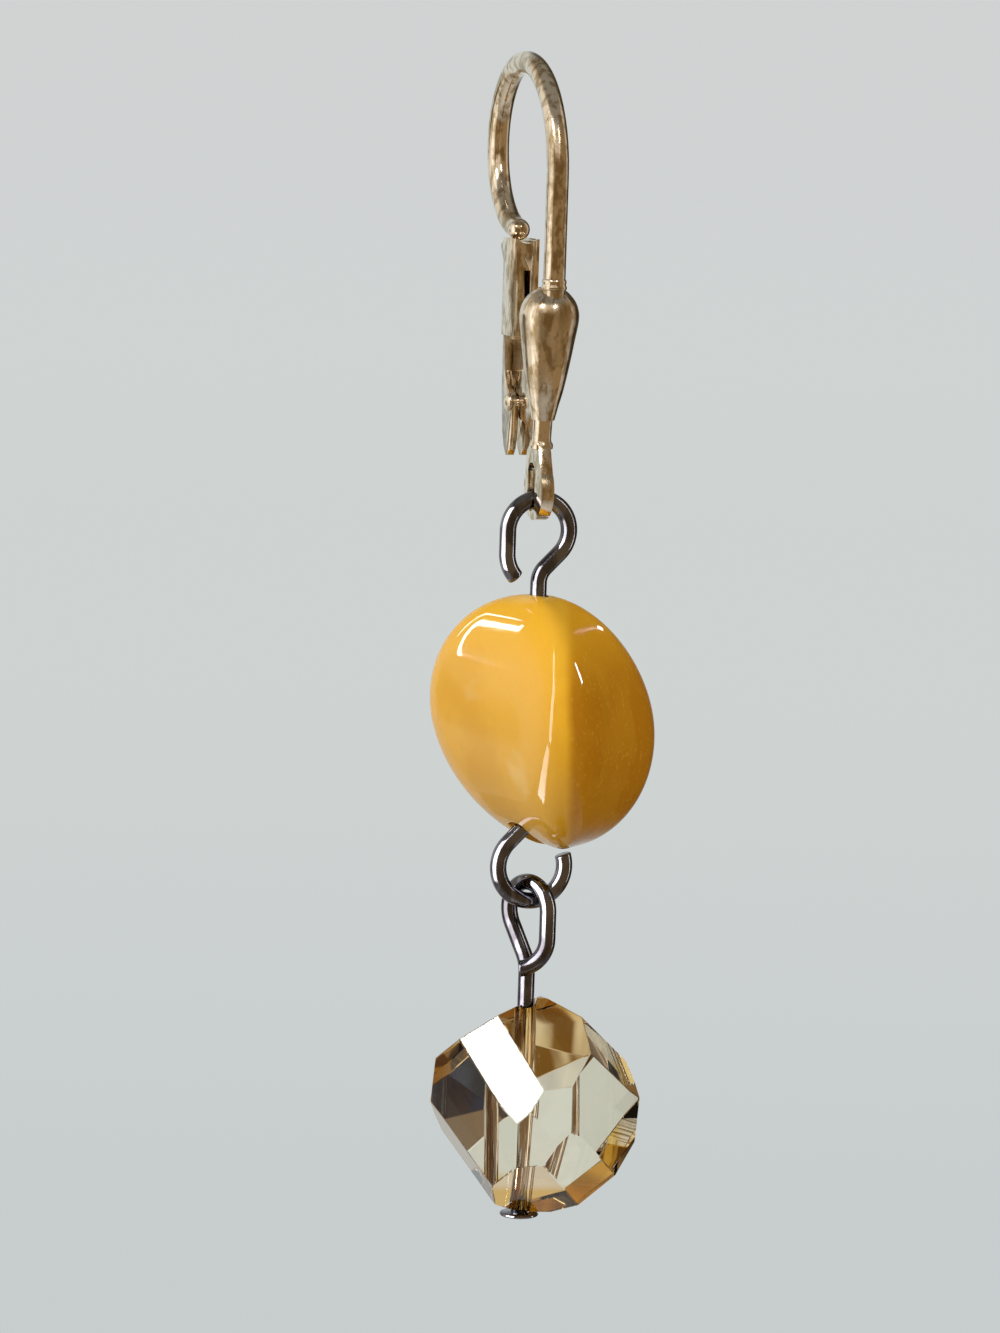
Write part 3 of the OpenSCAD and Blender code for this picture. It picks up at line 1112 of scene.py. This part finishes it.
@dataclass
class AmberBead(Part):
    """Soft three-sided bead that leans a little."""

    centre: Vector = field(default_factory=lambda: Vector((0.74, PIN_Y, -25.0)))
    half_height: float = 4.9
    radius: float = 3.06
    power: float = 3.0
    lean: float = 0.145
    twist: float = 4.0
    ridge: float = -102.0
    side_power: float = 1.93
    bore: float = 0.38
    recess_top: float = -28.42
    recess_depth: float = 2.4
    recess_angle: float = 43.0
    recess_width: float = 1.14

    def surface(self, lon: float, sine: float, cosine: float) -> Vector:
        """Work out one point of the bead's surface.

        Args:
            lon: Angle round the bead in radians.
            sine: Sine of the latitude.
            cosine: Cosine of the latitude.

        Returns:
            The point in the part's frame.
        """
        up = math.copysign(abs(sine) ** (2 / self.side_power), sine)
        out = max(cosine, 0.0) ** (2 / self.side_power)
        pull = sum(max(math.cos(lon - math.radians(face)), 0.0) ** self.power for face in (60, 180, 300))
        turn = lon + math.radians(self.ridge + self.twist * up)
        z = self.half_height * up
        flat = self.radius * out * pull ** (-1 / self.power)
        return self.centre + Vector((flat * math.cos(turn) - self.lean * z, flat * math.sin(turn), z))

    def recess(self) -> Solid:
        """Shape the room for the lower loop: a slice of a cone that opens downward.

        Returns:
            The cutter.
        """
        depth = self.recess_depth
        middle = Vector((PIN_X, self.centre.y, self.recess_top - depth / 2))
        mouth = self.bore + depth * math.tan(math.radians(self.recess_angle))
        reach = Vector((4, self.recess_width / 2, 1.3))
        cone = rod(mouth, depth, middle, UPWARD, 96, self.bore)
        return combine(cone, [("INTERSECT", box(middle - reach, middle + reach))])

    def build(self) -> None:
        """Make the bead."""
        bm = bmesh.new()
        bmesh.ops.create_uvsphere(bm, u_segments=192, v_segments=120, radius=1.0)
        for vert in bm.verts:
            x, y, z = vert.co
            vert.co = self.surface(math.atan2(y, x), max(-1.0, min(1.0, z)), math.hypot(x, y))
        cuts = [pin_hole(self.bore, self.centre.z), self.recess()]
        self.add(combine(bm, [("DIFFERENCE", cut) for cut in cuts]), "amber_stone", 40)


@dataclass
class HeadPin(Part):
    """Wire through the faceted bead with a teardrop loop above and a flat head below."""

    radius: float = 0.32
    loop_r: float = 1.05
    loop_z: float = -32.25
    loop_turn: float = -63.0
    bend_r: float = 1.3
    bend: float = 32.0
    end_drop: float = 1.02
    end_r: float = 1.2
    end_bend: float = 80.0
    end_turn: float = 41.0
    bottom: float = -44.25
    head_r: float = 0.75
    head_t: float = 0.16

    def build(self) -> None:
        """Make the head pin."""
        b = math.radians(self.bend)
        run = (self.loop_r - 2 * self.bend_r * (1 - math.cos(b))) / math.sin(b)
        stem_top = self.loop_z - 2 * self.bend_r * math.sin(b) - run * math.cos(b)
        start = Vector((PIN_X, PIN_Y, self.bottom + self.head_t / 2))
        normal = Matrix.Rotation(math.radians(self.loop_turn), 3, "Z") @ Vector((0, -1, 0))
        sweep = WireSweep(self.radius, start, UPWARD, normal)
        sweep.straight(stem_top - start.z - CUT_ROUNDING, 4)
        sweep.turn(self.bend_r, self.bend).straight(run).turn(self.bend_r, -self.bend)
        sweep.turn(self.loop_r, -180).straight(self.end_drop)
        sweep.tilt_plane(self.end_turn, UPWARD).turn(self.end_r, -self.end_bend)
        self.add(sweep.close(), "head_wire", 50)
        low, r, t = self.bottom, self.head_r, self.head_t
        disc = lathe([
            (0, low), (r - 0.09, low), (r - 0.02, low + 0.03), (r, low + t / 2), (r - 0.03, low + t - 0.02),
            (r - 0.08, low + t), (0, low + t),
        ], 96)
        bmesh.ops.translate(disc, verts=disc.verts[:], vec=(PIN_X, PIN_Y, 0))
        self.add(disc, "pin_head", 50)


@dataclass
class CrystalBead(Part):
    """Faceted glass bead, cut plane by plane."""

    centre: Vector = field(default_factory=lambda: Vector((0.81, PIN_Y, -39.96)))
    above: float = 4.25
    below: float = 4.10
    turn: float = -14.5
    rows: tuple = ((43.5, 28.5, 3.31), (-59, 3, 2.99), (3, 54.5, 3.55), (6.5, -5.5, 4.17))

    def planes(self) -> list[tuple[Vector, float]]:
        """List the facets.

        Returns:
            Outward normals with their distances from the bead's middle.
        """
        found = [(UPWARD, self.above), (-UPWARD, self.below)]
        for k in range(3):
            for turn, lift, distance in self.rows:
                for side in (-1, 1):
                    a = math.radians(self.turn + 120 * k - side * turn)
                    e = math.radians(side * lift)
                    normal = Vector((math.cos(e) * math.sin(a), -math.cos(e) * math.cos(a), math.sin(e)))
                    found.append((normal, distance))
        return found

    def build(self) -> None:
        """Make the bead."""
        bm = bmesh.new()
        bmesh.ops.create_cube(bm, size=30.0)
        for normal, distance in self.planes():
            cut = bmesh.ops.bisect_plane(
                bm, geom=bm.verts[:] + bm.edges[:] + bm.faces[:], dist=WELD_SEAM,
                plane_co=normal * distance, plane_no=normal, clear_outer=True,
            )["geom_cut"]
            edges = [e for e in cut if isinstance(e, bmesh.types.BMEdge)]
            if edges:
                bmesh.ops.edgeloop_fill(bm, edges=edges)
        bmesh.ops.recalc_face_normals(bm, faces=bm.faces[:])
        soften(bm, 0.03, 1, 4)
        bmesh.ops.translate(bm, verts=bm.verts[:], vec=self.centre)
        hole = pin_hole(GLASS_BORE, self.centre.z)
        self.add(combine(bm, [("DIFFERENCE", hole)]), "crystal_stone", 14)


# Studio


def toward(azimuth: float, elevation: float) -> Vector:
    """Turn two angles into a direction.

    Args:
        azimuth: Angle round the earring in degrees, 0 in front and 90 at the right.
        elevation: Angle above the horizon in degrees.

    Returns:
        The direction away from the earring.
    """
    a, e = math.radians(azimuth), math.radians(elevation)
    return Vector((math.sin(a) * math.cos(e), -math.cos(a) * math.cos(e), math.sin(e)))


@dataclass(frozen=True)
class SoftLight:
    """One soft box, aimed at a point."""

    name: str
    azimuth: float
    elevation: float
    size: Point2
    radiance: float
    roll: float = 0.0
    only: Slot | None = None
    mirrored: bool = True
    colour: Rgb = (1.0, 1.0, 1.0)
    distance: float = 0.30

    def build(self, aim: Vector) -> bpy.types.Object:
        """Hang the light.

        Args:
            aim: What it points at, in metres.

        Returns:
            The light.
        """
        data = bpy.data.lights.new(self.name, "AREA")
        data.shape = "RECTANGLE"
        data.size, data.size_y = self.size
        data.energy = self.radiance * math.pi * self.size[0] * self.size[1]
        data.color = self.colour
        light = bpy.data.objects.new(self.name, data)
        away = toward(self.azimuth, self.elevation)
        light.location = aim + away * self.distance
        light.rotation_mode = "QUATERNION"
        spin = Quaternion((0.0, 0.0, 1.0), math.radians(self.roll))
        light.rotation_quaternion = away.to_track_quat("Z", "Y") @ spin
        light.visible_camera = False
        light.visible_glossy = self.mirrored
        light.visible_transmission = self.mirrored
        light.visible_diffuse = not self.mirrored
        if self.only is not None:
            light.light_linking.receiver_collection = lit_group(self.only)
        bpy.context.scene.collection.objects.link(light)
        return light


@dataclass(frozen=True)
class Wall:
    """One soft-edged patch of the surroundings."""

    azimuth: float
    elevation: float
    inner: float
    outer: float
    colour: Rgb
    mottle: Rgb | None = None


class Surroundings(NodeGraph):
    """World of which each kind of ray sees its own side."""

    mottle_scale = 64.0
    mottle_cover = (0.42, 0.60)

    def __init__(self) -> None:
        """Start an empty world."""
        world = bpy.data.worlds.new("studio")
        world.use_nodes = True
        bpy.context.scene.world = world
        super().__init__(world.node_tree, "Generated")
        self.path = self.node("ShaderNodeLightPath")

    def background(self, colour: Socket) -> Socket:
        """Turn a colour into a background.

        Args:
            colour: The colour.

        Returns:
            The background shader.
        """
        shader = self.node("ShaderNodeBackground")
        self.link(colour, shader.inputs["Color"])
        return shader.outputs[0]

    def painted(self, room: Rgb, walls: Sequence[Wall]) -> Socket:
        """Paint one set of surroundings.

        Args:
            room: Colour of the rest.
            walls: The patches, each over the ones before.

        Returns:
            The background shader.
        """
        colour: Rgb | Socket = room
        for wall in walls:
            rim, core = (math.cos(math.radians(angle)) for angle in (wall.outer, wall.inner))
            share = self.ranged(self.dot(toward(wall.azimuth, wall.elevation)), rim, core, smooth=True)
            over = wall.colour
            if wall.mottle is not None:
                grain = self.noise(self.mottle_scale, 2.0, 0.5)
                spots = self.ranged(grain, *self.mottle_cover, smooth=True)
                over = self.blend(spots, wall.colour, wall.mottle)
            colour = self.blend(share, colour, over)
        return self.background(colour)

    def graded(self, stops: Sequence[tuple[float, Rgb]]) -> Socket:
        """Grade a backdrop by height.

        Args:
            stops: Heights from -1 straight down to 1 straight up, lowest first, with their colours.

        Returns:
            The background shader.
        """
        ramp = self.node("ShaderNodeValToRGB")
        ramp.color_ramp.interpolation = "EASE"
        ramp.color_ramp.elements.new(0.5)
        for element, (height, shade) in zip(ramp.color_ramp.elements, stops):
            element.position = (height + 1.0) / 2
            element.color = (*shade, 1.0)
        self.link(self.ranged(self.dot(UPWARD), -1.0, 1.0), ramp.inputs["Fac"])
        return self.background(ramp.outputs["Color"])

    def choose(self, test: str, no: Socket, yes: Socket) -> Socket:
        """Pick a background by the kind of ray.

        Args:
            test: Output of the light path that decides.
            no: Background where it is false.
            yes: Background where it is true.

        Returns:
            The chosen background.
        """
        pick = self.node("ShaderNodeMixShader")
        for source, target in zip((self.path.outputs[test], no, yes), pick.inputs):
            self.link(source, target)
        return pick.outputs[0]


@dataclass
class Studio:
    """Pale floor, surroundings and soft lights."""

    aim: Vector = field(default_factory=lambda: Vector((0, -2.9, -25)) * MM)
    floor_z: float = -0.36
    floor_r: float = 0.50
    backdrop: tuple[tuple[float, Rgb], ...] = (
        (-0.24, (0.575, 0.61, 0.615)), (-0.12, (0.62, 0.655, 0.645)), (0.0, (0.635, 0.65, 0.65)),
    )
    room: Rgb = (0.25, 0.165, 0.08)
    walls: tuple[Wall, ...] = (
        Wall(-110, 0, 22, 60, (0.78, 0.72, 0.63)),
        Wall(165, -4, 42, 57, (0.60, 0.64, 0.635)),
        Wall(116, -10, 16, 42, (0.05, 0.035, 0.02)),
        Wall(130, 34, 20, 40, (0.06, 0.045, 0.025)),
        Wall(0, 90, 30, 64, (0.22, 0.20, 0.17)),
        Wall(-133, -9, 6, 14, (0.14, 0.12, 0.10)),
    )
    glass_room: Rgb = (0.20, 0.11, 0.04)
    glass_walls: tuple[Wall, ...] = (
        Wall(0, 0, 179, 180, (0.24, 0.13, 0.05), (0.05, 0.025, 0.01)),
        Wall(-55, 50, 34, 52, (0.52, 0.27, 0.03), (0.12, 0.045, 0.006)),
        Wall(168, -2, 42, 50, (0.64, 0.66, 0.60)),
        Wall(158, -56, 20, 32, (0.66, 0.52, 0.29), (0.16, 0.075, 0.015)),
        Wall(162, 44, 10, 22, (0.66, 0.56, 0.40), (0.50, 0.38, 0.24)),
        Wall(114, -20, 7, 13, (0.006, 0.008, 0.016), (0.03, 0.035, 0.055)),
        Wall(115, -4, 3, 8, (0.24, 0.17, 0.10)),
        Wall(-22, -24, 6, 18, (0.55, 0.50, 0.38)),
        Wall(16, 23, 6, 18, (0.36, 0.31, 0.25)),
        Wall(-78, 0, 7, 10, (1.30, 1.25, 1.15)),
        Wall(34, 2, 3, 6, (1.10, 1.0, 0.85)),
        Wall(72, -24, 6, 22, (0.80, 0.72, 0.55), (0.30, 0.20, 0.08)),
        Wall(123, -5, 3, 5, (1.70, 1.58, 1.40), (0.80, 0.62, 0.45)),
        Wall(92, -8, 9, 13, (1.70, 1.58, 1.40), (0.80, 0.62, 0.45)),
        Wall(29, -52, 14, 24, (1.10, 0.82, 0.44), (0.40, 0.22, 0.07)),
        Wall(75, 30, 20, 30, (1.20, 1.05, 0.85), (0.50, 0.34, 0.20)),
    )
    lights: tuple[SoftLight, ...] = (
        SoftLight("key_left", -62, 28, (0.22, 0.22), 4.5, mirrored=False),
        SoftLight("key_top", 10, 68, (0.20, 0.20), 2.2, mirrored=False),
        SoftLight("fill_right", 50, 12, (0.22, 0.22), 2.8, mirrored=False),
        SoftLight("amber_band", -129, 23, (0.008, 0.16), 32.0, roll=22, only=Slot.AMBER),
        SoftLight("amber_band_high", -139, 28, (0.006, 0.11), 18.0, roll=15, only=Slot.AMBER),
        SoftLight("amber_streak_top", -15, 57, (0.03, 0.20), 9.0, roll=-35, only=Slot.AMBER),
        SoftLight("amber_streak", -46, 12, (0.05, 0.42), 9.0, roll=-30, only=Slot.AMBER),
        SoftLight("amber_streak_low", -97, -37, (0.05, 0.30), 8.0, roll=-65, only=Slot.AMBER),
        SoftLight("amber_spot_high", 131, 18, (0.007, 0.007), 30.0, only=Slot.AMBER),
        SoftLight("amber_spot_low", 105, 18, (0.014, 0.045), 20.0, only=Slot.AMBER),
        SoftLight("facet_box", -106, 31, (0.07, 0.07), 18.0, only=Slot.CRYSTAL),
        SoftLight("silver_strip", -80, 5, (0.20, 0.50), 0.45, only=Slot.SILVER, colour=(1.0, 0.97, 0.92)),
        SoftLight("silver_edge", 92, 5, (0.14, 0.50), 0.3, only=Slot.SILVER, colour=(1.0, 0.90, 0.84)),
        SoftLight("silver_panel", -22, 34, (0.30, 0.16), 0.50, only=Slot.SILVER, colour=(1.0, 0.95, 0.92)),
        SoftLight("silver_box_left", -54, 40, (0.065, 0.055), 9.0, only=Slot.SILVER),
        SoftLight("silver_box_right", 8, 40, (0.045, 0.045), 8.0, only=Slot.SILVER),
        SoftLight("pin_strip", -74, 5, (0.30, 0.50), 6.5, only=Slot.PIN),
        SoftLight("pin_edge", 70, 10, (0.03, 0.40), 4.5, only=Slot.PIN),
    )

    def world(self) -> None:
        """Paint the backdrop, and the surroundings that show mirrored or through the glass."""
        sky = Surroundings()
        around = sky.painted(self.room, self.walls)
        through = sky.painted(self.glass_room, self.glass_walls)
        seen = sky.graded(self.backdrop)
        surface = sky.choose("Is Camera Ray", sky.choose("Is Transmission Ray", around, through), seen)
        sky.link(surface, sky.node("ShaderNodeOutputWorld").inputs["Surface"])

    def floor(self) -> bpy.types.Object:
        """Lay the plain pale floor, well below the hanging earring.

        Returns:
            The floor.
        """
        bm = bmesh.new()
        bmesh.ops.create_circle(bm, cap_ends=True, segments=96, radius=self.floor_r / MM)
        bmesh.ops.translate(bm, verts=bm.verts[:], vec=(0, 0, self.floor_z / MM))
        floor = to_object(bm, "floor")
        paint = NodeSheet("pale_floor").constant(base_color=(0.86, 0.85, 0.83, 1.0), roughness=0.9)
        floor.data.materials.append(paint.material)
        floor.visible_transmission = False
        return floor

    def build(self) -> None:
        """Lay the floor, make the surroundings and hang the lights."""
        self.floor()
        self.world()
        for light in self.lights:
            light.build(self.aim)


@dataclass(frozen=True)
class PhotoCamera:
    """Camera at the photograph's angle."""

    azimuth: float = -18.0
    elevation: float = 7.0
    roll: float = 1.8
    distance: float = 200.0
    focal_px: float = 5280.0
    frame_px: Point2 = (1000.0, 1333.0)
    sensor: float = 24.0
    anchor: tuple = (0.0, -4.33, -22.69)
    anchor_px: Point2 = (543.0, 666.5)

    def build(self) -> bpy.types.Object:
        """Place the camera.

        Returns:
            The camera.
        """
        a, r = math.radians(self.azimuth), math.radians(self.roll)
        away = toward(self.azimuth, self.elevation)
        level = Vector((math.cos(a), math.sin(a), 0))
        upright = away.cross(level)
        right = level * math.cos(r) + upright * math.sin(r)
        up = upright * math.cos(r) - level * math.sin(r)
        per_px = self.distance / self.focal_px
        shift_x, shift_y = ((at - size / 2) * per_px for at, size in zip(self.anchor_px, self.frame_px))
        place = Vector(self.anchor) + away * self.distance - right * shift_x + up * shift_y
        data = bpy.data.cameras.new("photo_camera")
        data.sensor_fit = "VERTICAL"
        data.sensor_height = data.sensor_width = self.sensor
        data.lens = self.focal_px / self.frame_px[1] * self.sensor
        data.clip_start, data.clip_end = 0.01, 10.0
        camera = bpy.data.objects.new("photo_camera", data)
        camera.matrix_world = Matrix((
            (right.x, up.x, away.x, place.x * MM),
            (right.y, up.y, away.y, place.y * MM),
            (right.z, up.z, away.z, place.z * MM),
            (0, 0, 0, 1),
        ))
        bpy.context.scene.collection.objects.link(camera)
        bpy.context.scene.camera = camera
        return camera


@dataclass
class Earring:
    """The whole earring."""

    finishes: dict[Slot, Tarnish | AmberGlow | ChampagneGlass] = field(default_factory=lambda: {
        Slot.SILVER: WORN_SILVER,
        Slot.PIN: DARK_WIRE,
        Slot.AMBER: AmberGlow(),
        Slot.CRYSTAL: ChampagneGlass(),
    })

    def build(self) -> None:
        """Make every sub-assembly."""
        material = {slot: finish.build(slot.value) for slot, finish in self.finishes.items()}
        for kind, name, body, slot, node in (
            (EarHook, "ear hook", Body.EAR_WIRE, Slot.SILVER, "ear_hook"),
            (Rivet, "rivet", Body.EAR_WIRE, Slot.SILVER, "lever_rivet"),
            (Lever, "lever", Body.LEVER, Slot.SILVER, "lever"),
            (EyePin, "eye pin", Body.EYE_PIN, Slot.PIN, "eye_pin"),
            (AmberBead, "amber bead", Body.AMBER, Slot.AMBER, "amber_bead"),
            (HeadPin, "head pin", Body.HEAD_PIN, Slot.PIN, "head_pin"),
            (CrystalBead, "crystal bead", Body.CRYSTAL, Slot.CRYSTAL, "crystal_bead"),
        ):
            kind(name, body, slot, node, material[slot]).build()


def main() -> None:
    """Load the frame and dress it."""
    logging.basicConfig(level=logging.INFO, format="%(name)s: %(message)s")
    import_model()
    Earring().build()
    Studio().build()
    PhotoCamera().build()
    bpy.context.scene.view_settings.view_transform = "Standard"


if __name__ == "__main__":
    main()
